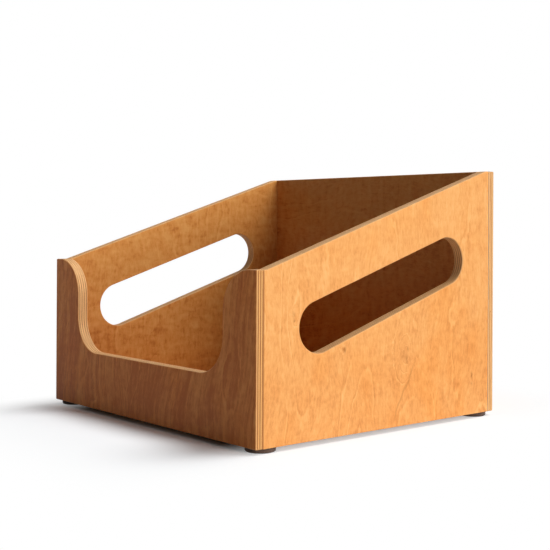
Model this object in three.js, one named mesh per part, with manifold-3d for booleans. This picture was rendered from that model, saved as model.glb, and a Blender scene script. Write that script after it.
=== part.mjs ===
// Slant-sided record crate in stained birch plywood: five rebated panels, glued and dowelled, on four felt feet.
// Millimetres, +Z up. The front faces -Y, and the origin is on the ground under the middle of the crate.
import * as THREE from 'three';
import { mergeVertices, toCreasedNormals } from 'three/addons/utils/BufferGeometryUtils.js';
import Module from 'manifold-3d';

const wasm = await Module();
wasm.setup();

// Box
const width = 360;
const depth = 330;
const frontHeight = 159.5;
const rearHeight = 258;
const ply = 12;
const edgeRound = 1.2;

// Rebates: the front and the back cover the ends of the sides, and all four walls take the floor
const rebateDepth = 4;
const glueLine = 0.2;

// Front: two ears with a scoop between them
const earWidth = 49.5;
const earRound = 39;
const sillHeight = 60;
const scoopCorner = 37;

// Sides: the top edge slopes up and bends into a short level run at the back; a hand slot follows the slope
const levelRun = 1.8;
const bendRadius = 20;
const slotLength = 237;
const slotWidth = 49;
const railAboveSlot = 47;

// Fluted dowels in the glued joints
const dowelDiameter = 6;
const dowelLength = 20;
const dowelChamfer = 0.8;
const fluteCount = 8;
const fluteDepth = 0.25;
const boreClearance = 0.15;
const boreRelief = 0.5;
const skinOverBore = 2.5;
const dowelFromEnd = 30;
const frontCornerDowels = 2;
const rearCornerDowels = 3;
const floorDowels = 3;

// Felt feet
const footDiameter = 28;
const footHeight = 4.5;
const footRound = 1.4;
const footMarginSide = 0.5;
const footMarginEnd = 3;
const adhesive = 0.2;

// Facets
const arcDivisions = 9;
const roundSteps = 3;
const boreSegments = 24;
const footSegments = 32;
const footRoundSteps = 2;
const overcut = 10;

// Worked out from the sizes above
const halfWidth = width / 2;
const halfDepth = depth / 2;
const lip = ply - rebateDepth;
const lipFace = halfDepth - lip;
const panelEnd = lipFace - glueLine;
const floorSpace = ply + glueLine;

// The slope starts over the inner face of the front panel, and is a tangent to the bend
const slopeStart = ply - halfDepth;
const bend = new THREE.Vector2(panelEnd - levelRun, rearHeight - bendRadius);
const slopeToBend = bend.clone().sub(new THREE.Vector2(slopeStart, frontHeight));
const slopeAngle = slopeToBend.angle() + Math.asin(bendRadius / slopeToBend.length());

const boreRadius = dowelDiameter / 2 + boreClearance;
const dowelInLip = lip - skinOverBore - boreRelief;
const up = new THREE.Vector3(0, 1, 0);

const plywood = new THREE.MeshStandardMaterial({ color: 0xd58a45, roughness: 0.42, metalness: 0 });
const beech = new THREE.MeshStandardMaterial({ color: 0xd9b98c, roughness: 0.8, metalness: 0 });
const felt = new THREE.MeshStandardMaterial({ color: 0x4a3224, roughness: 0.95, metalness: 0 });

function toSolid(geometry) {
  const bare = geometry.clone();
  bare.deleteAttribute('normal');
  bare.deleteAttribute('uv');
  const merged = mergeVertices(bare, 1e-4);
  const mesh = new wasm.Mesh({
    numProp: 3,
    vertProperties: new Float32Array(merged.attributes.position.array),
    triVerts: new Uint32Array(merged.index.array),
  });
  return new wasm.Manifold(mesh);
}

function toGeometry(solid) {
  const mesh = solid.getMesh();
  const geometry = new THREE.BufferGeometry();
  geometry.setAttribute('position', new THREE.BufferAttribute(mesh.vertProperties, 3));
  geometry.setIndex(new THREE.BufferAttribute(mesh.triVerts, 1));
  return toCreasedNormals(geometry, THREE.MathUtils.degToRad(20));
}

function cut(geometry, cutters) {
  return toGeometry(cutters.reduce((rest, cutter) => rest.subtract(toSolid(cutter)), toSolid(geometry)));
}

// A box between two opposite corners
function block(low, high) {
  const size = high.map((value, axis) => value - low[axis]);
  const middle = high.map((value, axis) => (value + low[axis]) / 2);
  return new THREE.BoxGeometry(...size).translate(...middle);
}

// A plywood panel lying outer face down, with its outline and its holes rounded over on both faces
function sheet(outline) {
  const geometry = new THREE.ExtrudeGeometry(outline, {
    depth: ply - 2 * edgeRound,
    curveSegments: arcDivisions,
    bevelThickness: edgeRound,
    bevelSize: edgeRound,
    bevelOffset: -edgeRound,
    bevelSegments: roundSteps,
  });
  return geometry.translate(0, 0, edgeRound);
}

function piece(name, geometry, material) {
  const mesh = new THREE.Mesh(geometry, material);
  mesh.name = name;
  return mesh;
}

// Evenly spaced places along a joint, the outer two at the same distance from its ends
function spread(from, to, count) {
  const first = from + dowelFromEnd;
  const step = (to - from - 2 * dowelFromEnd) / (count - 1);
  return Array.from({ length: count }, (_, i) => first + i * step);
}

// Outline of the front panel: it stands on its lower edge, as it does in the crate
function frontOutline() {
  const neck = halfWidth - earWidth;
  const earY = frontHeight - earRound;
  const cornerX = neck - scoopCorner;
  const cornerY = sillHeight + scoopCorner;
  const outline = new THREE.Shape();
  outline.moveTo(-halfWidth, 0);
  outline.lineTo(halfWidth, 0);
  outline.lineTo(halfWidth, frontHeight);
  outline.absarc(neck + earRound, earY, earRound, Math.PI / 2, Math.PI, false);
  outline.absarc(cornerX, cornerY, scoopCorner, 0, -Math.PI / 2, true);
  outline.absarc(-cornerX, cornerY, scoopCorner, -Math.PI / 2, -Math.PI, true);
  outline.absarc(-neck - earRound, earY, earRound, 0, Math.PI / 2, false);
  outline.lineTo(-halfWidth, frontHeight);
  return outline;
}

function backOutline() {
  const outline = new THREE.Shape();
  outline.moveTo(-halfWidth, 0);
  outline.lineTo(halfWidth, 0);
  outline.lineTo(halfWidth, rearHeight);
  outline.lineTo(-halfWidth, rearHeight);
  return outline;
}

// Outline of a side panel, front to back along x
function sideOutline() {
  const outline = new THREE.Shape();
  outline.moveTo(-panelEnd, 0);
  outline.lineTo(panelEnd, 0);
  outline.lineTo(panelEnd, rearHeight);
  outline.absarc(bend.x, bend.y, bendRadius, Math.PI / 2, Math.PI / 2 + slopeAngle, false);
  outline.lineTo(slopeStart, frontHeight);
  outline.lineTo(-panelEnd, frontHeight);
  outline.holes.push(slotOutline());
  return outline;
}

// Hand slot with round ends, centred on the depth of the crate
function slotOutline() {
  const radius = slotWidth / 2;
  const halfRun = slotLength / 2 - radius;
  const edgeHeight = frontHeight - slopeStart * Math.tan(slopeAngle);
  const height = edgeHeight - (railAboveSlot + radius) / Math.cos(slopeAngle);
  const x = halfRun * Math.cos(slopeAngle);
  const rise = halfRun * Math.sin(slopeAngle);
  const quarter = Math.PI / 2;
  const slot = new THREE.Path();
  slot.absarc(x, height + rise, radius, slopeAngle - quarter, slopeAngle + quarter, false);
  slot.absarc(-x, height - rise, radius, slopeAngle + quarter, slopeAngle + 3 * quarter, false);
  return slot;
}

// A front or back panel, rebated inside its ends for the side panels and along its foot for the floor
function endPanel(name, outline) {
  const shoulderX = halfWidth - ply - glueLine;
  const farX = halfWidth + overcut;
  const top = rearHeight + overcut;
  const inside = ply + overcut;
  const rebates = [
    block([-farX, -overcut, lip], [-shoulderX, top, inside]),
    block([shoulderX, -overcut, lip], [farX, top, inside]),
    block([-farX, -overcut, lip], [farX, floorSpace, inside]),
  ];
  return piece(name, cut(sheet(outline), rebates), plywood);
}

// The left side panel, rebated along its foot for the floor
function sidePanel(name) {
  const far = panelEnd + overcut;
  const rebate = block([-far, -overcut, lip], [far, floorSpace, ply + overcut]);
  return piece(name, cut(sheet(sideOutline()), [rebate]), plywood);
}

function floorPanel() {
  const halfX = halfWidth - lip - glueLine;
  return piece('floor_panel', block([-halfX, -panelEnd, 0], [halfX, panelEnd, ply]), plywood);
}

// A turned pin with chamfered ends, along y, its flutes cut by a star-shaped bar
function dowelGeometry() {
  const radius = dowelDiameter / 2;
  const end = dowelLength / 2;
  const profile = [
    new THREE.Vector2(0, -end),
    new THREE.Vector2(radius - dowelChamfer, -end),
    new THREE.Vector2(radius, -end + dowelChamfer),
    new THREE.Vector2(radius, end - dowelChamfer),
    new THREE.Vector2(radius - dowelChamfer, end),
    new THREE.Vector2(0, end),
  ];
  const star = Array.from({ length: 2 * fluteCount }, (_, i) => {
    const reach = i % 2 ? radius - fluteDepth : radius + fluteDepth;
    const turn = (i * Math.PI) / fluteCount;
    return new THREE.Vector2(reach * Math.cos(turn), reach * Math.sin(turn));
  });
  const bar = new THREE.ExtrudeGeometry(new THREE.Shape(star), { depth: 2 * dowelLength, bevelEnabled: false });
  bar.translate(0, 0, -dowelLength).rotateX(Math.PI / 2);
  const pin = toSolid(new THREE.LatheGeometry(profile, 2 * fluteCount));
  return toGeometry(pin.intersect(toSolid(bar)));
}

function footGeometry() {
  const radius = footDiameter / 2;
  const profile = new THREE.Path();
  profile.moveTo(0, 0);
  profile.lineTo(radius - footRound, 0);
  profile.absarc(radius - footRound, footRound, footRound, -Math.PI / 2, 0, false);
  profile.lineTo(radius, footHeight - adhesive);
  profile.lineTo(0, footHeight - adhesive);
  return new THREE.LatheGeometry(profile.getPoints(footRoundSteps), footSegments);
}

// The blind bore for a dowel, in the frame of a panel that it enters
function boreIn(panel, dowel) {
  const toPanel = panel.matrixWorld.clone().invert().multiply(dowel.matrixWorld);
  const centre = new THREE.Vector3().applyMatrix4(toPanel);
  const turn = new THREE.Quaternion().setFromUnitVectors(up, up.clone().transformDirection(toPanel));
  const bore = new THREE.CylinderGeometry(boreRadius, boreRadius, dowelLength + 2 * boreRelief, boreSegments);
  return bore.applyQuaternion(turn).translate(centre.x, centre.y, centre.z);
}

function drill(panel, dowels) {
  panel.geometry = cut(panel.geometry, dowels.map((dowel) => boreIn(panel, dowel)));
}

const pinGeometry = dowelGeometry();
const padGeometry = footGeometry();
const pinOffset = dowelLength / 2 - dowelInLip;

// Dowels from the end of a side panel into the front (end = -1) or the back panel (end = 1)
function cornerDowels(hand, end) {
  const count = end < 0 ? frontCornerDowels : rearCornerDowels;
  const height = end < 0 ? frontHeight : rearHeight;
  const label = end < 0 ? 'front' : 'back';
  return spread(ply, height, count).map((z, i) => {
    const dowel = piece(`${hand}_${label}_dowel_${i + 1}`, pinGeometry, beech);
    dowel.position.set(-halfWidth + ply / 2, end * (lipFace - pinOffset), z);
    return dowel;
  });
}

// Dowels from the edge of the floor into the lip of a side panel
function floorEdgeDowels(hand) {
  return spread(-panelEnd, panelEnd, floorDowels).map((y, i) => {
    const dowel = piece(`${hand}_floor_dowel_${i + 1}`, pinGeometry, beech);
    dowel.rotation.z = Math.PI / 2;
    dowel.position.set(-halfWidth + lip + pinOffset, y, ply / 2);
    return dowel;
  });
}

function foot(name, end) {
  const fromSide = footMarginSide + footDiameter / 2;
  const fromEnd = footMarginEnd + footDiameter / 2;
  const pad = piece(name, padGeometry, felt);
  pad.rotation.x = Math.PI / 2;
  pad.position.set(-halfWidth + fromSide, end * (halfDepth - fromEnd), -footHeight);
  return pad;
}

// Everything on one side of the crate: it is laid out for the left, and mirrored for the right
function sideGroup(hand) {
  const panel = sidePanel(`${hand}_side_panel`);
  panel.rotation.set(Math.PI / 2, 0, Math.PI / 2, 'ZYX');
  panel.position.x = -halfWidth;
  const pins = {
    front: cornerDowels(hand, -1),
    back: cornerDowels(hand, 1),
    floor: floorEdgeDowels(hand),
  };
  const group = new THREE.Group();
  group.add(panel, ...pins.front, ...pins.back, ...pins.floor);
  group.add(foot(`front_${hand}_foot`, -1), foot(`back_${hand}_foot`, 1));
  group.scale.x = hand === 'right' ? -1 : 1;
  return { group, panel, pins };
}

const front = endPanel('front_panel', frontOutline());
front.rotation.set(Math.PI / 2, 0, Math.PI, 'ZYX');
front.position.y = -halfDepth;

const back = endPanel('back_panel', backOutline());
back.rotation.x = Math.PI / 2;
back.position.y = halfDepth;

const floor = floorPanel();
const left = sideGroup('left');
const right = sideGroup('right');

const crate = new THREE.Group();
crate.add(front, back, floor, left.group, right.group);
crate.position.z = footHeight;

const part = new THREE.Group();
part.add(crate);
part.updateMatrixWorld(true);

drill(front, [...left.pins.front, ...right.pins.front]);
drill(back, [...left.pins.back, ...right.pins.back]);
drill(floor, [...left.pins.floor, ...right.pins.floor]);
drill(left.panel, Object.values(left.pins).flat());
drill(right.panel, Object.values(right.pins).flat());

export default part;
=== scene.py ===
"""Looks of a slant-sided plywood storage crate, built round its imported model.

Each panel or pair of panels has an operator that makes it, and so have the dowels, the feet and the stage.
Everything is in metres, in the crate's own frame: the front faces -Y, and +Z is up. Only the finishes, with their
patterns and the table of veneers, work in millimetres.
"""

import math
from typing import NamedTuple

import bmesh
import bpy
from bpy.props import FloatProperty, FloatVectorProperty, IntProperty, PointerProperty
from mathutils import Matrix, Vector


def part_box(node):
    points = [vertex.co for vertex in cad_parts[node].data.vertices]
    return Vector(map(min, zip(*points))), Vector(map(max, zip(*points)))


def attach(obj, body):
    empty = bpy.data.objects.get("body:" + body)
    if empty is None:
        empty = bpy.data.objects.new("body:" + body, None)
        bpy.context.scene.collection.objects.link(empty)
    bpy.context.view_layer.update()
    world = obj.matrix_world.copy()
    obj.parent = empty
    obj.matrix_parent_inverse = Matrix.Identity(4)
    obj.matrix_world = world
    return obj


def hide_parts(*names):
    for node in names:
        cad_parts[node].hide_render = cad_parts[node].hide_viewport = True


bl_info = {
    "name": "Record Crate",
    "version": (1, 0, 0),
    "blender": (4, 5, 0),
    "location": "3D View > Sidebar > Crate",
    "description": "Makes the plywood panels, felt feet and stage of a record crate",
    "category": "Object",
}

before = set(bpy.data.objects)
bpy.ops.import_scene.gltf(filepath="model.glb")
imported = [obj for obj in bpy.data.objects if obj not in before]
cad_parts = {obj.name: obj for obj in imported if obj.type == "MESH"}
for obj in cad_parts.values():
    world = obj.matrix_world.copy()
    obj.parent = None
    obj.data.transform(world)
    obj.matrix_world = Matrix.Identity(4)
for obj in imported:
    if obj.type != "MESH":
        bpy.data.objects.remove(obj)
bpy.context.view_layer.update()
BODY = "root"
MM = 0.001
MM_PER_METRE = 1000
WHITE = (1, 1, 1, 1)
HANDS = {"left": -1, "right": 1}

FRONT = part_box("front_panel")
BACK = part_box("back_panel")
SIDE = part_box("right_side_panel")
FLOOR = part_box("floor_panel")
DOWELS = sorted(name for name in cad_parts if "_dowel_" in name)
FEET = sorted(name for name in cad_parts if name.endswith("_foot"))
THICKNESS = BACK[1].y - BACK[0].y


# ---------------------------------------------------------------- node graphs


class Graph:
    """A node tree, and the one way in which nodes join it."""

    def __init__(self, tree):
        self.tree = tree
        tree.nodes.clear()

    def node(self, kind, settings=None, inputs=None):
        """A new node: its settings first, then a value or a link for each named or numbered socket."""
        made = self.tree.nodes.new(kind)
        for key, value in (settings or {}).items():
            if key == "stops":
                self.set_stops(made.color_ramp, value)
            else:
                setattr(made, key, value)
        for key, value in (inputs or {}).items():
            self.feed(made.inputs[key], value)
        return made

    def feed(self, socket, value):
        """Links a value into a socket, or sets a plain number, colour or vector on it."""
        source = value.socket if isinstance(value, Value) else value
        if isinstance(source, bpy.types.NodeSocket):
            self.tree.links.new(source, socket)
        else:
            socket.default_value = source

    def join(self, *parts):
        """Geometry sockets joined into one."""
        joined = self.node("GeometryNodeJoinGeometry")
        for part in parts:
            self.feed(joined.inputs[0], part)
        return joined.outputs[0]

    @staticmethod
    def set_stops(ramp, stops):
        while len(ramp.elements) < len(stops):
            ramp.elements.new(1.0)
        for element, (position, colour) in zip(ramp.elements, stops):
            element.position = position
            element.color = (*colour, 1.0)


class Value:
    """A number that changes over a surface: Python's operators on it add Math nodes."""

    def __init__(self, graph, socket):
        self.graph = graph
        self.socket = socket

    def math(self, operation, *operands, clamp=False):
        settings = {"operation": operation, "use_clamp": clamp}
        made = self.graph.node("ShaderNodeMath", settings, dict(enumerate(operands)))
        return Value(self.graph, made.outputs[0])

    def __add__(self, other):
        return self.math("ADD", self, other)

    def __radd__(self, other):
        return self.math("ADD", other, self)

    def __sub__(self, other):
        return self.math("SUBTRACT", self, other)

    def __rsub__(self, other):
        return self.math("SUBTRACT", other, self)

    def __mul__(self, other):
        return self.math("MULTIPLY", self, other)

    def __rmul__(self, other):
        return self.math("MULTIPLY", other, self)

    def __truediv__(self, other):
        return self.math("DIVIDE", self, other)

    def __pow__(self, other):
        return self.math("POWER", self, other)

    def __abs__(self):
        return self.math("ABSOLUTE", self)

    def floor(self):
        return self.math("FLOOR", self)

    def fraction(self):
        return self.math("FRACT", self)

    def exponential(self):
        return self.math("EXPONENT", self)

    def clamped(self):
        return self.math("ADD", self, 0.0, clamp=True)

    def at_least(self, other):
        return self.math("MAXIMUM", self, other)

    def smooth(self, low, high):
        """0 below low and 1 above high, with a smooth step between them."""
        settings = {"interpolation_type": "SMOOTHSTEP"}
        inputs = {"Value": self, "From Min": low, "From Max": high}
        made = self.graph.node("ShaderNodeMapRange", settings, inputs)
        return Value(self.graph, made.outputs["Result"])


class Finish(Graph):
    """A material, with the patterns that this crate's finishes are mixed from."""

    def __init__(self, name):
        self.material = bpy.data.materials.new(name)
        self.material.use_nodes = True
        super().__init__(self.material.node_tree)
        self.coordinates = self.node("ShaderNodeTexCoord")

    def axes(self, output):
        """The three coordinates of a Texture Coordinate output, as values."""
        split = self.node("ShaderNodeSeparateXYZ", inputs={"Vector": self.coordinates.outputs[output]})
        return [Value(self, socket) for socket in split.outputs]

    def millimetres(self):
        """A point's place on the crate, as three values."""
        return [axis * MM_PER_METRE for axis in self.axes("Object")]

    def speckle(self, cycles, detail, roughness=0.5, distortion=0.0):
        """Noise with the same cycles to a millimetre in every direction."""
        return self.noise(*(axis * cycles for axis in self.millimetres()), detail, roughness, distortion)

    def noise(self, x, y, z, detail, roughness, distortion):
        """Noise, about 0 to 1, at three coordinates that are already scaled to cycles."""
        vector = self.node("ShaderNodeCombineXYZ", inputs={"X": x, "Y": y, "Z": z})
        inputs = {
            "Vector": vector.outputs[0],
            "Scale": 1.0,
            "Detail": detail,
            "Roughness": roughness,
            "Distortion": distortion,
        }
        return Value(self, self.node("ShaderNodeTexNoise", inputs=inputs).outputs[0])

    def mix(self, share, first, second, blend="MIX"):
        """Two colours mixed by share, as a socket."""
        first, second = (c if isinstance(c, bpy.types.NodeSocket) else (*c, 1.0) for c in (first, second))
        settings = {"data_type": "RGBA", "blend_type": blend}
        share_in, first_in, second_in, colour_out = 0, 6, 7, 2  # this node's sockets for colours share their names
        inputs = {share_in: share, first_in: first, second_in: second}
        return self.node("ShaderNodeMix", settings, inputs).outputs[colour_out]

    def ramp(self, value, stops):
        return self.node("ShaderNodeValToRGB", {"stops": stops}, {"Fac": value}).outputs["Color"]

    def bump(self, height, distance, strength=1.0):
        """A normal that follows a height, which is worth a distance where it is 1."""
        inputs = {"Height": height, "Distance": distance, "Strength": strength}
        return self.node("ShaderNodeBump", inputs=inputs).outputs["Normal"]

    def surface(self, **sockets):
        """Ends the material in a Principled BSDF; a socket's name is written with _ for its spaces."""
        inputs = {key.replace("_", " "): value for key, value in sockets.items()}
        shader = self.node("ShaderNodeBsdfPrincipled", inputs=inputs)
        self.node("ShaderNodeOutputMaterial", inputs={"Surface": shader.outputs[0]})
        return self.material


# ---------------------------------------------------------------- settings


class CrateSizes(bpy.types.PropertyGroup):
    """Sizes of the crate that its boxes don't give."""

    ear_width: FloatProperty(
        name="Ear width", description="Width of each ear of the front", default=49.5 * MM, unit="LENGTH"
    )
    ear_round: FloatProperty(
        name="Ear radius", description="Radius of an ear's inner corner", default=39 * MM, unit="LENGTH"
    )
    sill_height: FloatProperty(
        name="Sill height", description="Height of the front below the scoop", default=60 * MM, unit="LENGTH"
    )
    scoop_corner: FloatProperty(
        name="Scoop radius", description="Radius of the scoop's lower corners", default=37 * MM, unit="LENGTH"
    )
    slot_length: FloatProperty(
        name="Slot length", description="Length of a hand slot", default=237 * MM, unit="LENGTH"
    )
    slot_width: FloatProperty(
        name="Slot width", description="Width of a hand slot", default=49 * MM, unit="LENGTH"
    )
    rail: FloatProperty(
        name="Rail", description="Wood between the slot and the top edge", default=47 * MM, unit="LENGTH"
    )
    level_run: FloatProperty(
        name="Level run", description="Level top edge behind the bend", default=1.8 * MM, unit="LENGTH"
    )
    bend_radius: FloatProperty(
        name="Bend radius", description="Bend of a side's top edge", default=20 * MM, unit="LENGTH"
    )
    edge_round: FloatProperty(
        name="Edge round", description="Radius of the eased arrises", default=1.2 * MM, unit="LENGTH"
    )
    glue_line: FloatProperty(
        name="Glue line", description="Gap in each glued joint", default=0.2 * MM, unit="LENGTH"
    )
    bore_clearance: FloatProperty(
        name="Bore clearance", description="Room round and past a dowel", default=0.15 * MM, unit="LENGTH"
    )
    arc_points: IntProperty(
        name="Arc points", description="Points in each arc of an outline", default=24, min=4
    )
    round_steps: IntProperty(
        name="Round steps", description="Steps across an eased arris", default=4, min=1
    )


class CrateLooks(bpy.types.PropertyGroup):
    """Colours and finish of the crate."""

    stain_dark: FloatVectorProperty(
        name="Stain, dark", description="Stain in the soaked grain", subtype="COLOR",
        default=(0.570, 0.185, 0.042), min=0, max=1,
    )
    stain_mid: FloatVectorProperty(
        name="Stain, middle", description="Stain over most of a face", subtype="COLOR",
        default=(0.800, 0.350, 0.102), min=0, max=1,
    )
    stain_light: FloatVectorProperty(
        name="Stain, light", description="Stain on the hard grain", subtype="COLOR",
        default=(0.900, 0.470, 0.170), min=0, max=1,
    )
    soaked: FloatVectorProperty(
        name="Soaked", description="What soaked-in stain multiplies the face's colour by", subtype="COLOR",
        default=(0.940, 0.590, 0.370), min=0, max=1,
    )
    redder: FloatVectorProperty(
        name="Redder", description="What redder patches of stain multiply the face's colour by", subtype="COLOR",
        default=(1.0, 0.91, 0.76), min=0, max=1,
    )
    knot: FloatVectorProperty(
        name="Knot", description="Pin knots in the face", subtype="COLOR",
        default=(0.420, 0.130, 0.024), min=0, max=1,
    )
    # Painted shade: multiplying the inner veneer by this darker, more olive colour paints shade over the inside of
    # the crate.
    inner_painted_shade: FloatVectorProperty(
        name="Inner tint", description="The inner veneer's colour, relative to the outer one", subtype="COLOR",
        default=(0.74, 0.67, 0.49), min=0, max=1,
    )
    # Painted light: both edge colours are lifted above the plies' own colours, to stand in for light on cut edges
    # that lie in shade.
    edge_long_grain_and_painted_light: FloatVectorProperty(
        name="Edge, long grain", description="Plies cut along their grain", subtype="COLOR",
        default=(0.940, 0.570, 0.258), min=0, max=1,
    )
    edge_end_grain_and_painted_light: FloatVectorProperty(
        name="Edge, end grain", description="Plies cut across their grain", subtype="COLOR",
        default=(0.440, 0.178, 0.056), min=0, max=1,
    )
    # Painted light taken back off: this multiplies the edges at the outer corners, so they keep less of the lift in
    # the edge colours.
    corner_painted_light_offset: FloatVectorProperty(
        name="Corner wash", description="What stain on the outer corners multiplies their edges by", subtype="COLOR",
        default=(0.800, 0.690, 0.530), min=0, max=1,
    )
    felt: FloatVectorProperty(
        name="Felt", description="Colour of the felt feet", subtype="COLOR",
        default=(0.078, 0.044, 0.029), min=0, max=1,
    )
    beech: FloatVectorProperty(
        name="Beech", description="Colour of the dowels", subtype="COLOR",
        default=(0.740, 0.550, 0.340), min=0, max=1,
    )
    plies: IntProperty(name="Plies", description="Veneers in a panel", default=9, min=3)
    roughness: FloatProperty(
        name="Roughness", description="Roughness of the stained face", default=0.48, min=0, max=1, subtype="FACTOR"
    )


class CrateStage(bpy.types.PropertyGroup):
    """Light and floor."""

    key_strength: FloatProperty(name="Key", description="Strength of the low light at the right", default=2.62, min=0)
    key_azimuth: FloatProperty(
        name="Key azimuth", description="Low light, from +X towards +Y", default=math.radians(8), subtype="ANGLE"
    )
    key_elevation: FloatProperty(
        name="Key elevation", description="Low light above the floor", default=math.radians(10), subtype="ANGLE"
    )
    key_softness: FloatProperty(
        name="Key softness", description="Angle that the low light fills", default=math.radians(26), subtype="ANGLE"
    )
    top_strength: FloatProperty(name="Top", description="Strength of the high light", default=1.9, min=0)
    top_azimuth: FloatProperty(
        name="Top azimuth", description="High light, from +X towards +Y", default=math.radians(64), subtype="ANGLE"
    )
    top_elevation: FloatProperty(
        name="Top elevation", description="High light above the floor", default=math.radians(63), subtype="ANGLE"
    )
    top_softness: FloatProperty(
        name="Top softness", description="Angle that the high light fills", default=math.radians(36), subtype="ANGLE"
    )
    ambient: FloatProperty(name="Ambient", description="Light from all round", default=0.055, min=0)
    fade_start: FloatProperty(
        name="Fade start", description="Distance from the crate where the floor starts to turn white",
        default=10 * MM, unit="LENGTH",
    )
    fade_end: FloatProperty(
        name="Fade end", description="Distance from the crate where the floor is white",
        default=205 * MM, unit="LENGTH",
    )
    fade_side: FloatProperty(
        name="Fade at the sides", description="Distance either side of the left and right where the shadow fades",
        default=62 * MM, unit="LENGTH",
    )
    floor_shown: FloatProperty(name="Floor, seen", description="Floor's colour where it is seen", default=1.23, min=0)
    floor_bounce: FloatProperty(name="Floor, bounce", description="Floor's colour to other rays", default=0.62, min=0)


# ---------------------------------------------------------------- meshes


def mesh_object(name, mesh):
    made = bpy.data.objects.new(name, mesh)
    bpy.context.scene.collection.objects.link(made)
    return made


def discard(made):
    mesh = made.data
    bpy.data.objects.remove(made)
    bpy.data.meshes.remove(mesh)


def evaluated_mesh(carrier):
    """A plain mesh of what the carrier's modifiers make."""
    graph = bpy.context.evaluated_depsgraph_get()
    return bpy.data.meshes.new_from_object(carrier.evaluated_get(graph), depsgraph=graph)


def set_inputs(modifier, values):
    """Sets a Geometry Nodes modifier's inputs by their identifiers, found by name."""
    for item in modifier.node_group.interface.items_tree:
        if item.in_out == "INPUT" and item.name in values:
            modifier[item.identifier] = values[item.name]


def finish_piece(name, mesh, slot, *nodes):
    """Makes the object of a finished mesh: it rides on the body, and its CAD nodes are hidden."""
    made = mesh_object(name, mesh)
    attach(made, BODY)
    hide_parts(*nodes)


def dress(node, material):
    """Gives a carried-over CAD node its finish."""
    node.data.materials.clear()
    node.data.materials.append(material)


def geometry_tree(name, inputs, output):
    """A Geometry Nodes tree with named inputs, a material and one output: its graph, and its inputs' sockets."""
    tree = bpy.data.node_groups.new(name, "GeometryNodeTree")
    for label, kind in {**inputs, "Material": "Material"}.items():
        tree.interface.new_socket(label, in_out="INPUT", socket_type=f"NodeSocket{kind}")
    tree.interface.new_socket(output, in_out="OUTPUT", socket_type="NodeSocketGeometry")
    graph = Graph(tree)
    return graph, graph.node("NodeGroupInput").outputs


def end_tree(graph, given, geometry, output):
    """Ends a Geometry Nodes tree: real geometry, in the material that it was given."""
    real = graph.node("GeometryNodeRealizeInstances", inputs={"Geometry": geometry})
    inputs = {"Geometry": real.outputs[0], "Material": given["Material"]}
    clad = graph.node("GeometryNodeSetMaterial", inputs=inputs)
    graph.node("NodeGroupOutput", inputs={output: clad.outputs[0]})
    return graph.tree


# ---------------------------------------------------------------- outlines: loops of (x, y, corner radius)


def front_outline(sizes):
    """The front: two ears with a scoop between them."""
    low, high = FRONT
    neck = high.x - sizes.ear_width
    sill = low.z + sizes.sill_height
    outer = [
        (low.x, low.z, 0),
        (high.x, low.z, 0),
        (high.x, high.z, 0),
        (neck, high.z, sizes.ear_round),
        (neck, sill, sizes.scoop_corner),
        (-neck, sill, sizes.scoop_corner),
        (-neck, high.z, sizes.ear_round),
        (low.x, high.z, 0),
    ]
    return [outer]


def back_outline():
    """The back: a plain rectangle."""
    low, high = BACK
    return [[(low.x, low.z, 0), (high.x, low.z, 0), (high.x, high.z, 0), (low.x, high.z, 0)]]


def slope(sizes):
    """Where the slope starts, the corner where it would meet the level run, and its angle."""
    high = SIDE[1]
    start = Vector((FRONT[1].y, FRONT[1].z))
    centre = Vector((high.y - sizes.level_run, high.z - sizes.bend_radius))
    reach = centre - start
    angle = math.atan2(reach.y, reach.x) + math.asin(sizes.bend_radius / reach.length)
    corner = Vector((start.x + (high.z - start.y) / math.tan(angle), high.z))
    return start, corner, angle


def side_outline(sizes):
    """A side, front to back: a sloping top edge that bends into a level run, and a hand slot."""
    low, high = SIDE
    start, corner, angle = slope(sizes)
    outer = [
        (low.y, low.z, 0),
        (high.y, low.z, 0),
        (high.y, high.z, 0),
        (corner.x, corner.y, sizes.bend_radius),
        (start.x, start.y, 0),
        (low.y, start.y, 0),
    ]
    radius = sizes.slot_width / 2
    along = Vector((math.cos(angle), math.sin(angle)))
    across = Vector((-along.y, along.x))
    top_at_middle = start.y - start.x * math.tan(angle)
    centre = Vector((0, top_at_middle - (sizes.rail + radius) / math.cos(angle)))
    slot = []
    for end, side in ((-1, -1), (1, -1), (1, 1), (-1, 1)):
        point = centre + end * sizes.slot_length / 2 * along + side * radius * across
        slot.append((point.x, point.y, radius))
    return [outer, slot]


# ---------------------------------------------------------------- panels


WELD = 0.001 * MM
BORE_SIDES = 32
EASED_ANGLE = math.radians(50)
FAR = 0.1  # how far a cutter runs past the faces that it isn't there to cut


def panel_tree():
    """Geometry Nodes that turn a wire outline into a panel: fillet its corners, fill it and give it its thickness."""
    inputs = {"Outline": "Geometry", "Thickness": "Float", "Arc points": "Int"}
    graph, given = geometry_tree("Panel blank", inputs, "Panel")
    radius = graph.node("GeometryNodeInputNamedAttribute", {"data_type": "FLOAT"}, {"Name": "fillet"})
    wire = graph.node("GeometryNodeMeshToCurve", inputs={"Mesh": given["Outline"]})
    fillet = graph.node(
        "GeometryNodeFilletCurve",
        {"mode": "POLY"},
        {
            "Curve": wire.outputs["Curve"],
            "Count": given["Arc points"],
            "Radius": radius.outputs["Attribute"],
            "Limit Radius": True,
        },
    )
    face = graph.node("GeometryNodeFillCurve", {"mode": "NGONS"}, {0: fillet.outputs["Curve"]}).outputs["Mesh"]
    offset = graph.node("ShaderNodeCombineXYZ", inputs={"Z": given["Thickness"]})
    walls = graph.node(
        "GeometryNodeExtrudeMesh", {"mode": "FACES"}, {"Mesh": face, "Offset": offset.outputs[0], "Individual": False}
    )
    outer = graph.node("GeometryNodeFlipFaces", inputs={"Mesh": face})
    joined = graph.join(walls.outputs["Mesh"], outer.outputs["Mesh"])
    closed = graph.node("GeometryNodeMergeByDistance", inputs={"Geometry": joined, "Distance": WELD})
    return end_tree(graph, given, closed.outputs[0], "Panel")


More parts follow.
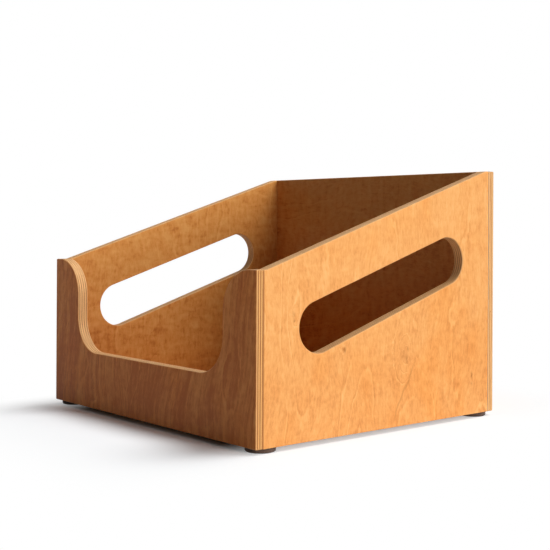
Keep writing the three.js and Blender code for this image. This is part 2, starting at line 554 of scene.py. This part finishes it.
def wire_outline(loops, mirror):
    """A wire mesh of closed loops; each point carries the radius of its corner."""
    points = [point for loop in loops for point in loop]
    edges = []
    first = 0
    for loop in loops:
        count = len(loop)
        edges += [(first + i, first + (i + 1) % count) for i in range(count)]
        first += count
    mesh = bpy.data.meshes.new("outline")
    mesh.from_pydata([(mirror * x, y, 0) for x, y, _ in points], edges, [])
    fillet = mesh.attributes.new("fillet", "FLOAT", "POINT")
    fillet.data.foreach_set("value", [radius for _, _, radius in points])
    return mesh


def add_block(cutter, low, high):
    """Adds a box between two corners to a bmesh."""
    size = [b - a for a, b in zip(low, high)]
    middle = [(b + a) / 2 for a, b in zip(low, high)]
    matrix = Matrix.Translation(middle) @ Matrix.Diagonal((*size, 1))
    bmesh.ops.create_cube(cutter, size=1, matrix=matrix)


def add_bore(cutter, dowel, clearance):
    """Adds the bore of a dowel to a bmesh: it clears the dowel all round, and three times as much past each end."""
    low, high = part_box(dowel)
    size = high - low
    axis = max(range(3), key=lambda i: size[i])
    direction = Vector([float(i == axis) for i in range(3)])
    turn = direction.to_track_quat("Z", "Y").to_matrix().to_4x4()
    radius = min(size) / 2 + clearance
    bmesh.ops.create_cone(
        cutter,
        cap_ends=True,
        segments=BORE_SIDES,
        radius1=radius,
        radius2=radius,
        depth=size[axis] + 6 * clearance,
        matrix=Matrix.Translation((low + high) / 2) @ turn,
    )


def cutter_object(blocks, dowels, clearance):
    """One mesh of everything that is cut out of a panel."""
    cutter = bmesh.new()
    for low, high in blocks:
        add_block(cutter, low, high)
    for dowel in dowels:
        add_bore(cutter, dowel, clearance)
    mesh = bpy.data.meshes.new("cutter")
    cutter.to_mesh(mesh)
    cutter.free()
    return mesh_object("cutter", mesh)


def make_panel(node, outline, placing, mirror, blocks, dowels, material):
    """A panel of its outline and thickness, with eased arrises, its rebates cut and its bores drilled."""
    sizes = bpy.context.scene.crate_sizes
    carrier = mesh_object("outline", wire_outline(outline, mirror))
    carrier.matrix_world = placing
    blank = carrier.modifiers.new("Blank", "NODES")
    blank.node_group = bpy.data.node_groups.get("Panel blank") or panel_tree()
    set_inputs(blank, {"Thickness": THICKNESS, "Arc points": sizes.arc_points, "Material": material})
    ease = carrier.modifiers.new("Ease", "BEVEL")
    ease.width = sizes.edge_round
    ease.segments = sizes.round_steps
    ease.limit_method = "ANGLE"
    ease.angle_limit = EASED_ANGLE
    cut = carrier.modifiers.new("Cut", "BOOLEAN")
    cut.object = cutter_object(blocks, dowels, sizes.bore_clearance)
    cut.operation = "DIFFERENCE"
    cut.solver = "EXACT"
    cut.use_self = True
    shade = carrier.modifiers.new("Shade", "WEIGHTED_NORMAL")
    shade.keep_sharp = True
    mesh = evaluated_mesh(carrier)
    mesh.transform(placing)
    mesh.name = node
    discard(cut.object)
    discard(carrier)
    if not mesh.polygons:
        raise RuntimeError(f"{node} came out empty")
    finish_piece(f"{node}_plywood", mesh, "stained_plywood", node)


def placed(origin, right, up, inward):
    """A matrix of an origin and three axes. A panel's outline lies along right and up, on its outer face."""
    matrix = Matrix.Identity(4)
    for column, axis in enumerate((right, up, inward)):
        matrix.col[column].xyz = axis
    matrix.col[3].xyz = origin
    return matrix


def end_blocks(direction):
    """What is cut from the front (-1) or the back (1): rebates for the two sides, and one for the floor."""
    glue = bpy.context.scene.crate_sizes.glue_line
    face = (SIDE[0].y - glue) if direction < 0 else (SIDE[1].y + glue)
    y_low, y_high = sorted((face, face - direction * FAR))
    shoulder = SIDE[0].x - glue
    edge = BACK[1].x + FAR
    over = BACK[1].z + FAR
    return [
        ((shoulder, y_low, -FAR), (edge, y_high, over)),
        ((-edge, y_low, -FAR), (-shoulder, y_high, over)),
        ((-edge, y_low, -FAR), (edge, y_high, FLOOR[1].z + glue)),
    ]


def side_blocks(side):
    """What is cut from the left (-1) or the right (1) side: the rebate for the floor."""
    glue = bpy.context.scene.crate_sizes.glue_line
    face = side * (FLOOR[1].x + glue)
    x_low, x_high = sorted((face, face - side * FAR))
    return [((x_low, SIDE[0].y - FAR, -FAR), (x_high, SIDE[1].y + FAR, FLOOR[1].z + glue))]


# ---------------------------------------------------------------- finishes


class Pattern(NamedTuple):
    """Noise in the wood: cycles to a millimetre across and along the grain, an offset to the seed, and settings."""

    across: float
    along: float
    offset: float = 0.0
    detail: float = 2.0
    roughness: float = 0.5
    distortion: float = 0.0


class Knot(NamedTuple):
    """A pin knot: its place and size, its darkness from 0 to 1, and how many contour lines close round it."""

    across: float
    along: float
    radius: float
    darkness: float
    rings: float


class Veneer(NamedTuple):
    """One sheet of veneer.

    A trail is a fine dark line down the grain from (across, along) to (across, along). Lean is how far the grain
    leans over, soak is stain that sank in deeper, and streaks is how much the grain lines stand out.
    """

    seed: float
    knots: tuple
    trail: tuple = ()
    lean: float = 0.0
    soak: float = 0.0
    streaks: float = 0.30


PATTERNS = {
    # The figure: the slow field that its lines follow, how they sway, how ragged a knot is, and where they show
    "field": Pattern(0.0095, 0.0030),
    "sway": Pattern(0.055, 0.022, 3.1, detail=3),
    "jag": Pattern(0.33, 0.25, 5.9),
    "shown": Pattern(0.026, 0.013, 47.3),
    # The stained face: curl across the grain, mottled, blotched and redder stain, and fibres that drift sideways
    "curl": Pattern(0.050, 0.13, 7.7, distortion=0.6),
    "mottle": Pattern(0.20, 0.12, 11.3, detail=4, roughness=0.7),
    "blotch": Pattern(0.013, 0.011, 39.8, detail=3),
    "redder": Pattern(0.021, 0.013, 43.1),
    "drift": Pattern(0.0055, 0.0065, 51.7, detail=1),
    "streak": Pattern(0.13, 0.008, 19.3, detail=4, roughness=0.65),
    "fibre": Pattern(0.42, 0.10, 23.1, detail=4, roughness=0.8),
    "pore": Pattern(1.1, 0.17, 29.5),
    # The cut edges: plies that wander, their grit, clouds of stain, and voids
    "wander": Pattern(0.03, 0.03, 31.0),
    "grit": Pattern(0.9, 0.9, detail=3, roughness=0.7),
    "cloud": Pattern(0.06, 0.06, 37.0),
    "void": Pattern(0.30, 0.30, detail=1),
}

VENEERS = {
    "front": Veneer(4.2, (Knot(-96, 32, 2.0, 0.35, 1.2),), lean=0.16, soak=0.5, streaks=1.9),
    "back": Veneer(61.7, (Knot(171, 84, 2.4, 0.6, 1.5), Knot(92, -102, 1.8, 0.5, 1.2))),
    "left": Veneer(120.4, (Knot(-40, 60, 2.2, 0.6, 1.5), Knot(96, 182, 2.0, 0.5, 1.0))),
    "right": Veneer(
        187.3,
        (
            Knot(-121, 122, 2.0, 0.50, 0.5),
            Knot(-121, 117, 1.4, 0.70, 0.3),
            Knot(-57, 86, 2.2, 0.90, 0.8),
            Knot(25, 75, 5.5, 0.24, 2.3),
            Knot(29, 71, 2.8, 0.60, 0.8),
            Knot(31, 80, 1.7, 0.55, 0.3),
            Knot(61, 97, 4.2, 0.0, 1.6),
            Knot(129, 46, 2.2, 1.00, 0.8),
            Knot(130, 37, 1.4, 0.50, 0.2),
        ),
        trail=((36, 62), (10, 8)),
    ),
    "floor": Veneer(233.6, (Knot(-70, 40, 2.2, 0.6, 1.5),)),
}


class Plywood(Finish):
    """Stained birch plywood, whose plies are counted in from its outer face.

    The axes say which of x, y and z runs across the grain, along it, and into the panel. The places of the outer
    face and of a seam are in metres, as boxes give them, and everything else is in millimetres.
    """

    INNER_SIDE = (5, 7)  # depths between which the looks of the inner side come in
    CONTOURS = 10  # contour lines over the whole range of the figure's field
    FIGURE_SWAY = 1.1
    KNOT_STRETCH = 1.8  # a knot's length along the grain, over its width
    KNOT_JAG = 5
    RINGS_FALL = -0.14  # how fast a knot's rings, and below it its dark core, fall off with distance squared
    CORE_FALL = -2.2
    TRAIL_SWAY = 14
    FIBRE_DRIFT = 60
    PLY_WANDER = 0.45
    LOW_SHADE_HEIGHTS = (0, 230)  # heights between which the painted shade low on each face fades out
    CORNER = (170, 178)  # distances from the middle between which the wash on the corners comes in

    def __init__(self, name, axes, outer, veneer):
        super().__init__(name)
        self.looks = bpy.context.scene.crate_looks
        self.veneer = veneer
        self.place = self.millimetres()
        self.normal = self.axes("Normal")
        across, along, inward = ("xyz".index(axis) for axis in axes)
        self.across = self.place[across]
        self.along = self.place[along]
        self.upright = self.across - self.along * veneer.lean
        self.depth = abs(self.place[inward] - outer / MM)
        self.inner = self.depth.smooth(*self.INNER_SIDE)
        self.facing = [abs(self.normal[axis]) for axis in (across, along, inward)]
        self.sway = self.pattern("sway") - 0.5

    def pattern(self, name, across=None, layer=0.0):
        """A pattern of this veneer. Another value across the grain bends it, and a layer changes it with depth."""
        noise = PATTERNS[name]
        x = (across or self.across) * noise.across
        y = self.along * noise.along
        z = layer + (self.veneer.seed + noise.offset)
        return self.noise(x, y, z, noise.detail, noise.roughness, noise.distortion)

    def figure(self):
        """Contour lines of a slow field, drawn out along the grain, that close round each knot.

        Gives the phase between one line and the next, the lines' pale crests and dark grooves, and the knots' cores.
        """
        jag = (self.pattern("jag") - 0.5) * self.KNOT_JAG
        field = self.pattern("field", self.upright) * self.CONTOURS + self.sway * self.FIGURE_SWAY
        cores = []
        for knot in self.veneer.knots:
            across = (self.across - knot.across + jag) / knot.radius
            along = (self.along - knot.along - jag) / (knot.radius * self.KNOT_STRETCH)
            distance = across * across + along * along
            field = field + (distance * self.RINGS_FALL).exponential() * knot.rings
            cores.append((distance * self.CORE_FALL).exponential() * knot.darkness)
        phase = field.fraction()
        shown = self.pattern("shown").smooth(0.38, 0.60) * 0.75 + 0.25
        crest = (1 - abs(phase - 0.5).smooth(0.015, 0.085)) * shown
        groove = (1 - abs(phase - 0.61).smooth(0.02, 0.10)) * shown
        return phase, crest, groove, sum(cores)

    def trail(self):
        """1 on a fine line from one end of the veneer's trail to the other, and 0 off it."""
        (top_across, top_along), (end_across, end_along) = self.veneer.trail
        share = (self.along - end_along) / (top_along - end_along)
        off = abs(self.across - end_across - share * (top_across - end_across) + self.sway * self.TRAIL_SWAY)
        return (1 - off.smooth(0.5, 1.7)) * share.smooth(-0.05, 0.2) * (1 - share.smooth(0.95, 1.1))

    def face(self):
        """The stained face's colour, and the fibres, mottle and pores that its relief takes up."""
        looks, soak = self.looks, self.veneer.soak
        phase, crest, groove, core = self.figure()
        # Painted shade: each face is darker towards its bottom, where less light reaches.
        foot = 1 - self.place[2].smooth(*self.LOW_SHADE_HEIGHTS)
        strand = self.upright + (self.pattern("drift") - 0.5) * self.FIBRE_DRIFT
        fibre = self.pattern("fibre", strand)
        mottle = self.pattern("mottle")
        pore = self.pattern("pore", strand).smooth(0.62, 0.72)
        tone = (
            0.64
            - soak * 0.6
            - foot * 0.13
            + crest * 0.26
            - groove * 0.15
            + (phase - 0.5) * 0.07
            + (self.pattern("curl") - 0.5) * (self.inner * 0.66 + 0.34)
            + (mottle - 0.5) * (self.inner * 0.65 + 0.55)
            + (self.pattern("blotch") - 0.5) * 0.42
            + (self.pattern("streak", strand) - 0.5) * self.veneer.streaks
            + (fibre - 0.5) * 1.15
            - pore * 0.16
        )
        stops = [(0.0, looks.stain_dark), (0.5, looks.stain_mid), (1.0, looks.stain_light)]
        colour = self.ramp(tone.clamped(), stops)
        redder = self.pattern("redder").smooth(0.45, 0.75) * (1 - self.inner * 0.8)
        colour = self.mix(redder, colour, looks.redder, "MULTIPLY")
        colour = self.mix(soak, colour, looks.soaked, "MULTIPLY")
        # painted shade over the inner faces
        colour = self.mix(self.inner, colour, looks.inner_painted_shade, "MULTIPLY")
        colour = self.mix((core * 0.9).clamped(), colour, looks.knot)
        if self.veneer.trail:
            colour = self.mix(self.trail() * 0.32, colour, looks.knot)
        return colour, fibre, mottle, pore

    def cut_edge(self):
        """The cut plies' colour, how deep they are worn, and their grit.

        Every second ply runs across, and a ply is dark where it is cut across its grain.
        """
        looks = self.looks
        n_across, n_along, _ = self.facing
        wander = (self.pattern("wander") - 0.5) * self.PLY_WANDER
        layer = (self.depth + wander) / (THICKNESS / MM / looks.plies)
        odd = (layer.floor() * 0.5).fraction() * 2
        end_grain = odd * n_across * n_across + (1 - odd) * n_along * n_along
        grit = self.pattern("grit", layer=self.depth * 0.9)
        cloud = self.pattern("cloud", layer=self.depth * 0.35)
        glue = abs(layer.fraction() - 0.5).smooth(0.42, 0.49)
        void = self.pattern("void", layer=layer.floor() * 3.7).smooth(0.74, 0.79)
        tone = end_grain * 0.88 + (grit - 0.5) * 0.55 + (cloud - 0.5) * 0.50 + glue * 0.14 + void * 0.60
        colour = self.mix(tone.clamped(), looks.edge_long_grain_and_painted_light, looks.edge_end_grain_and_painted_light)
        # The edges at the outer corners lose most of the painted light that the edge colours carry.
        outer_corner = abs(self.normal[0]) * abs(self.place[0]).smooth(*self.CORNER)
        colour = self.mix(outer_corner * (0.4 + 1.2 * self.veneer.soak), colour, looks.corner_painted_light_offset, "MULTIPLY")
        return colour, end_grain * 0.9 + glue * 0.7 + void, grit

    def stained(self, seam):
        """The material. A seam is the place across the grain where a joint meets the face, and painted shade darkens
        a line along it.

        A face turns into an edge where its normal turns away, and the arris between them is painted lighter: partly
        rubbed stain, partly a painted highlight.
        """
        looks = self.looks
        face_colour, fibre, mottle, pore = self.face()
        edge_colour, wear, grit = self.cut_edge()
        n_inward = self.facing[2]
        edge = 1 - n_inward.smooth(0.35, 0.80)
        colour = self.mix(edge, face_colour, edge_colour)
        # Rubbed stain and a painted highlight: the rounded arris is mixed towards the light edge colour wherever it
        # faces.
        arris = (n_inward * (1 - n_inward) * 4).smooth(0.35, 0.95) * (0.55 + grit * 0.6)
        colour = self.mix((arris * 0.45).clamped(), colour, looks.edge_long_grain_and_painted_light)
        if seam is not None:
            # Painted shade: a dark line along the joint's groove.
            joint = 1 - abs(self.across - seam / MM).smooth(0.5, 1.5)
            colour = self.mix(joint * 0.5, colour, looks.knot)
        relief = fibre * 0.5 + mottle * 0.12 - pore * 0.7 - edge * wear
        rough = looks.roughness + (fibre - 0.5) * 0.16 + pore * 0.12 + edge * 0.14
        return self.surface(
            Base_Color=colour,
            Roughness=rough.clamped(),
            Specular_IOR_Level=0.15,
            Normal=self.bump(relief, 0.05 * MM, 0.7),
        )


def plywood(sheet, axes, outer, seam=None):
    """The finish of the panel that a sheet of veneer faces, from the place of that panel's outer face."""
    return Plywood(f"plywood_{sheet}", axes, outer, VENEERS[sheet]).stained(seam)


def beech_finish():
    """Raw beech of the turned dowels: fine streaks and short flecks."""
    looks = bpy.context.scene.crate_looks
    finish = Finish("beech")
    streak = finish.speckle(0.8, detail=4, roughness=0.7)
    fleck = finish.speckle(2.6, detail=1).smooth(0.6, 0.72)
    shade = (streak * 0.8 - fleck * 0.25 + 0.2).clamped()
    dark = tuple(channel * 0.62 for channel in looks.beech)
    colour = finish.mix(shade, dark, looks.beech)
    rough = (0.62 + streak * 0.3).clamped()
    return finish.surface(Base_Color=colour, Roughness=rough, Normal=finish.bump(streak - fleck, 0.06 * MM))


def felt_finish():
    """Dense pressed felt: matted fibres of slightly different browns."""
    looks = bpy.context.scene.crate_looks
    finish = Finish("felt")
    mat = finish.speckle(2.2, detail=5, roughness=0.75, distortion=1.2)
    clump = finish.speckle(0.35, detail=2)
    dark = tuple(channel * 0.45 for channel in looks.felt)
    pale = tuple(channel * 2.1 for channel in looks.felt)
    shade = (mat * 0.9 + clump * 0.5 - 0.2).clamped()
    colour = finish.mix(shade, dark, pale)
    rough = (0.85 + mat * 0.15).clamped()
    return finish.surface(Base_Color=colour, Roughness=rough, Sheen_Weight=0.2, Normal=finish.bump(mat, 0.25 * MM))


# ---------------------------------------------------------------- feet


RIM_FACING = 0.6  # fibres grow where the normal's upright share is below this
FIBRE = {"Density": 3.4e6, "Fibre length": 0.55 * MM, "Fibre radius": 0.035 * MM}
FIBRE_LEAN = 1.35  # radians, as is the turn
FIBRE_TURN = 6.28
PAD_STEPS = 72
PAD_SOFT = 0.1  # the rounding of the lower rim, as a share of the pad's radius
PAD_SOFT_TURNS = [math.radians(degrees) for degrees in range(15, 91, 15)]


def felt_tree():
    """Geometry Nodes that grow short fibres over the rim of a felt pad."""
    inputs = {"Pad": "Geometry", "Density": "Float", "Fibre length": "Float", "Fibre radius": "Float", "Seed": "Int"}
    graph, given = geometry_tree("Felt pad", inputs, "Felt")
    facing = graph.node("GeometryNodeInputNormal")
    split = graph.node("ShaderNodeSeparateXYZ", inputs={"Vector": facing.outputs[0]})
    level = abs(Value(graph, split.outputs["Z"]))
    on_rim = level.math("LESS_THAN", level, RIM_FACING)
    points = graph.node(
        "GeometryNodeDistributePointsOnFaces",
        {"distribute_method": "RANDOM"},
        {"Mesh": given["Pad"], "Selection": on_rim, "Density": given["Density"], "Seed": given["Seed"]},
    )
    tip = graph.node("ShaderNodeCombineXYZ", inputs={"Z": given["Fibre length"]})
    line = graph.node("GeometryNodeCurvePrimitiveLine", inputs={"Start": (0, 0, 0), "End": tip.outputs[0]})
    ring = graph.node(
        "GeometryNodeCurvePrimitiveCircle", {"mode": "RADIUS"}, {"Resolution": 3, "Radius": given["Fibre radius"]}
    )
    inputs = {"Curve": line.outputs[0], "Profile Curve": ring.outputs[0], "Fill Caps": True}
    fibre = graph.node("GeometryNodeCurveToMesh", inputs=inputs)
    tilt = graph.node(
        "FunctionNodeRandomValue",
        {"data_type": "FLOAT_VECTOR"},
        {"Min": (-FIBRE_LEAN, -FIBRE_LEAN, 0), "Max": (FIBRE_LEAN, FIBRE_LEAN, FIBRE_TURN), "Seed": given["Seed"]},
    )
    turned = graph.node(
        "FunctionNodeRotateRotation",
        {"rotation_space": "LOCAL"},
        {"Rotation": points.outputs["Rotation"], "Rotate By": tilt.outputs[0]},
    )
    grown = graph.node(
        "GeometryNodeInstanceOnPoints",
        inputs={"Points": points.outputs["Points"], "Instance": fibre.outputs[0], "Rotation": turned.outputs[0]},
    )
    return end_tree(graph, given, graph.join(given["Pad"], grown.outputs[0]), "Felt")


def pad_mesh(node):
    """A round pad turned about its axis, with a soft lower rim.

    Its points and faces are listed in a fixed order, because the fibres are drawn face by face.
    """
    low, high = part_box(node)
    centre = (low + high) / 2
    radius = (high.x - low.x) / 2
    soft = radius * PAD_SOFT
    profile = [(radius - soft, low.z)]
    profile += [
        (radius - soft + soft * math.sin(turn), low.z + soft - soft * math.cos(turn)) for turn in PAD_SOFT_TURNS
    ]
    profile += [(radius, high.z - soft / 2), (radius - soft / 4, high.z)]
    points = []
    for out, up in profile:
        for step in range(PAD_STEPS):
            turn = math.radians(360 * step / PAD_STEPS)
            points.append((centre.x + out * math.cos(turn), centre.y + out * math.sin(turn), up))
    sole, crown = len(points), len(points) + 1
    top_ring = sole - PAD_STEPS
    points += [(centre.x, centre.y, low.z), (centre.x, centre.y, high.z)]
    faces = []
    for here in range(PAD_STEPS):
        after = (here + 1) % PAD_STEPS
        faces.append((sole, after, here))
        for ring in range(0, top_ring, PAD_STEPS):
            above = ring + PAD_STEPS
            faces.append((ring + here, ring + after, above + after, above + here))
        faces.append((crown, top_ring + here, top_ring + after))
    mesh = bpy.data.meshes.new(node)
    mesh.from_pydata(points, [], faces)
    mesh.shade_smooth()
    return mesh


def keep_within(mesh, node):
    """Brings every point of a mesh back into the box of its CAD node."""
    low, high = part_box(node)
    for vertex in mesh.vertices:
        vertex.co = [min(max(place, least), most) for place, least, most in zip(vertex.co, low, high)]


# ---------------------------------------------------------------- operators


LAMP_DISTANCE = 3
FLOOR_REACH = 12


class CRATE_OT_front_panel(bpy.types.Operator):
    """Makes the front panel, with its ears and its scoop"""

    bl_idname = "crate.front_panel"
    bl_label = "Front panel"

    def execute(self, context):
        placing = placed((0, FRONT[0].y, 0), (-1, 0, 0), (0, 0, 1), (0, 1, 0))
        outline = front_outline(context.scene.crate_sizes)
        dowels = [name for name in DOWELS if "_front_" in name]
        material = plywood("front", "xzy", FRONT[0].y)
        make_panel("front_panel", outline, placing, -1, end_blocks(-1), dowels, material)
        return {"FINISHED"}


class CRATE_OT_back_panel(bpy.types.Operator):
    """Makes the plain back panel"""

    bl_idname = "crate.back_panel"
    bl_label = "Back panel"

    def execute(self, context):
        placing = placed((0, BACK[1].y, 0), (1, 0, 0), (0, 0, 1), (0, -1, 0))
        dowels = [name for name in DOWELS if "_back_" in name]
        material = plywood("back", "zxy", BACK[1].y)
        make_panel("back_panel", back_outline(), placing, 1, end_blocks(1), dowels, material)
        return {"FINISHED"}


class CRATE_OT_side_panels(bpy.types.Operator):
    """Makes the two sloping side panels, with their hand slots"""

    bl_idname = "crate.side_panels"
    bl_label = "Side panels"

    def execute(self, context):
        outline = side_outline(context.scene.crate_sizes)
        for hand, side in HANDS.items():
            outer = side * SIDE[1].x
            placing = placed((outer, 0, 0), (0, -side, 0), (0, 0, 1), (-side, 0, 0))
            dowels = [name for name in DOWELS if name.startswith(hand)]
            material = plywood(hand, "yzx", outer, SIDE[0].y)
            make_panel(f"{hand}_side_panel", outline, placing, -side, side_blocks(side), dowels, material)
        return {"FINISHED"}


class CRATE_OT_floor_panel(bpy.types.Operator):
    """Finishes the floor panel"""

    bl_idname = "crate.floor_panel"
    bl_label = "Floor panel"

    def execute(self, context):
        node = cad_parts["floor_panel"]
        dress(node, plywood("floor", "xyz", FLOOR[0].z))
        return {"FINISHED"}


class CRATE_OT_dowels(bpy.types.Operator):
    """Finishes the fluted dowels in the joints"""

    bl_idname = "crate.dowels"
    bl_label = "Dowels"

    def execute(self, context):
        material = beech_finish()
        for name in DOWELS:
            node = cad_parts[name]
            dress(node, material)
        return {"FINISHED"}


class CRATE_OT_feet(bpy.types.Operator):
    """Makes the four felt feet"""

    bl_idname = "crate.feet"
    bl_label = "Felt feet"

    def execute(self, context):
        material = felt_finish()
        tree = felt_tree()
        for seed, node in enumerate(FEET, start=1):
            carrier = mesh_object("pad", pad_mesh(node))
            felt = carrier.modifiers.new("Felt", "NODES")
            felt.node_group = tree
            set_inputs(felt, {**FIBRE, "Seed": seed, "Material": material})
            mesh = evaluated_mesh(carrier)
            mesh.name = node
            discard(carrier)
            keep_within(mesh, node)
            finish_piece(f"{node}_felt", mesh, "felt", node)
        return {"FINISHED"}


class CRATE_OT_stage(bpy.types.Operator):
    """Makes the floor that the crate stands on, the light and the camera"""

    bl_idname = "crate.stage"
    bl_label = "Stage"

    def execute(self, context):
        stage = context.scene.crate_stage
        self.make_floor(stage)
        self.make_world(context.scene, stage)
        self.make_light("key", stage.key_strength, stage.key_azimuth, stage.key_elevation, stage.key_softness)
        self.make_light("top", stage.top_strength, stage.top_azimuth, stage.top_elevation, stage.top_softness)
        self.make_camera(context.scene)
        context.scene.view_settings.view_transform = "Standard"
        return {"FINISHED"}

    @staticmethod
    def seen_rays(graph):
        """1 for a ray from the camera, straight or by way of a mirror or glass, and 0 for the others."""
        path = graph.node("ShaderNodeLightPath")
        seen = Value(graph, path.outputs["Is Camera Ray"])
        for ray in ("Is Glossy Ray", "Is Transmission Ray"):
            seen = seen.at_least(path.outputs[ray])
        return seen

    def make_floor(self, stage):
        """A large level floor: as seen, it holds the crate's shadow, and turns white further off and at the sides."""
        mesh = bpy.data.meshes.new("floor")
        corners = [(x * FLOOR_REACH, y * FLOOR_REACH, 0) for x, y in ((-1, -1), (1, -1), (1, 1), (-1, 1))]
        mesh.from_pydata(corners, [], [(0, 1, 2, 3)])
        graph = Finish("floor")
        seen = self.seen_rays(graph)
        shade = seen * (stage.floor_shown - stage.floor_bounce) + stage.floor_bounce
        colour = graph.node("ShaderNodeCombineColor", inputs={0: shade * 0.98, 1: shade, 2: shade * 1.02})
        diffuse = graph.node("ShaderNodeBsdfDiffuse", inputs={"Color": colour.outputs[0]})
        x, y, _ = graph.axes("Object")
        aside = abs(x) - SIDE[1].x
        past_x = aside.at_least(0)
        past_y = (abs(y) - BACK[1].y).at_least(0)
        away = (past_x * past_x + past_y * past_y) ** 0.5
        near = 1 - away.smooth(stage.fade_start, stage.fade_end)
        kept = near * (1 - aside.smooth(-stage.fade_side, stage.fade_side))
        fade = seen * (1 - kept)
        white = graph.node("ShaderNodeEmission", inputs={"Color": WHITE, "Strength": 1.0})
        both = graph.node("ShaderNodeMixShader", inputs={0: fade, 1: diffuse.outputs[0], 2: white.outputs[0]})
        graph.node("ShaderNodeOutputMaterial", inputs={"Surface": both.outputs[0]})
        mesh.materials.append(graph.material)
        mesh_object("stage_floor", mesh)

    def make_world(self, scene, stage):
        """White where it is seen, and a weak even light on the crate."""
        world = bpy.data.worlds.new("surround")
        world.use_nodes = True
        scene.world = world
        graph = Graph(world.node_tree)
        seen = self.seen_rays(graph)
        strength = seen * (1 - stage.ambient) + stage.ambient
        back = graph.node("ShaderNodeBackground", inputs={"Color": WHITE, "Strength": strength})
        graph.node("ShaderNodeOutputWorld", inputs={"Surface": back.outputs[0]})

    @staticmethod
    def make_light(name, strength, azimuth, elevation, softness):
        """A broad soft light, whose azimuth runs from +X towards +Y."""
        lamp = bpy.data.lights.new(name, "SUN")
        lamp.energy = strength
        lamp.angle = softness
        light = bpy.data.objects.new(name, lamp)
        level = math.cos(elevation)
        towards = Vector((level * math.cos(azimuth), level * math.sin(azimuth), math.sin(elevation)))
        light.location = towards * LAMP_DISTANCE
        light.rotation_euler = towards.to_track_quat("Z", "Y").to_euler()
        bpy.context.scene.collection.objects.link(light)

    @staticmethod
    def make_camera(scene):
        """A level camera, its lens shifted and its roll set as the crate's edges in the picture ask for."""
        eye = (0.9134, -0.7643, 0.2038)
        picture = 550
        focal_px = 1074.3
        horizon_px = 224.9
        yaw = math.radians(49.785)
        roll = math.radians(0.308)
        lens = bpy.data.cameras.new("camera")
        lens.sensor_width = 36.0
        lens.lens = focal_px * lens.sensor_width / picture
        lens.shift_y = (horizon_px - picture / 2) / picture
        camera = bpy.data.objects.new("camera", lens)
        level = Vector((math.cos(yaw), math.sin(yaw), 0))
        right = math.cos(roll) * level + math.sin(roll) * Vector((0, 0, 1))
        forward = Vector((-math.sin(yaw), math.cos(yaw), 0))
        camera.matrix_world = placed(eye, right, right.cross(forward), -forward)
        scene.collection.objects.link(camera)
        scene.camera = camera


class CRATE_PT_tools(bpy.types.Panel):
    """The crate's operators, in the 3D view's sidebar"""

    bl_label = "Record Crate"
    bl_idname = "CRATE_PT_tools"
    bl_space_type = "VIEW_3D"
    bl_region_type = "UI"
    bl_category = "Crate"

    def draw(self, _context):
        for operator in OPERATORS:
            self.layout.operator(operator.bl_idname)


OPERATORS = (
    CRATE_OT_front_panel,
    CRATE_OT_back_panel,
    CRATE_OT_side_panels,
    CRATE_OT_floor_panel,
    CRATE_OT_dowels,
    CRATE_OT_feet,
    CRATE_OT_stage,
)
GROUPS = {"crate_sizes": CrateSizes, "crate_looks": CrateLooks, "crate_stage": CrateStage}
CLASSES = (*GROUPS.values(), *OPERATORS, CRATE_PT_tools)


def register():
    for made in CLASSES:
        bpy.utils.register_class(made)
    for name, group in GROUPS.items():
        setattr(bpy.types.Scene, name, PointerProperty(type=group))


def unregister():
    for name in GROUPS:
        delattr(bpy.types.Scene, name)
    for made in reversed(CLASSES):
        bpy.utils.unregister_class(made)


def main():
    register()
    bpy.ops.crate.front_panel()
    bpy.ops.crate.back_panel()
    bpy.ops.crate.side_panels()
    bpy.ops.crate.floor_panel()
    bpy.ops.crate.dowels()
    bpy.ops.crate.feet()
    bpy.ops.crate.stage()


if __name__ == "__main__":
    main()
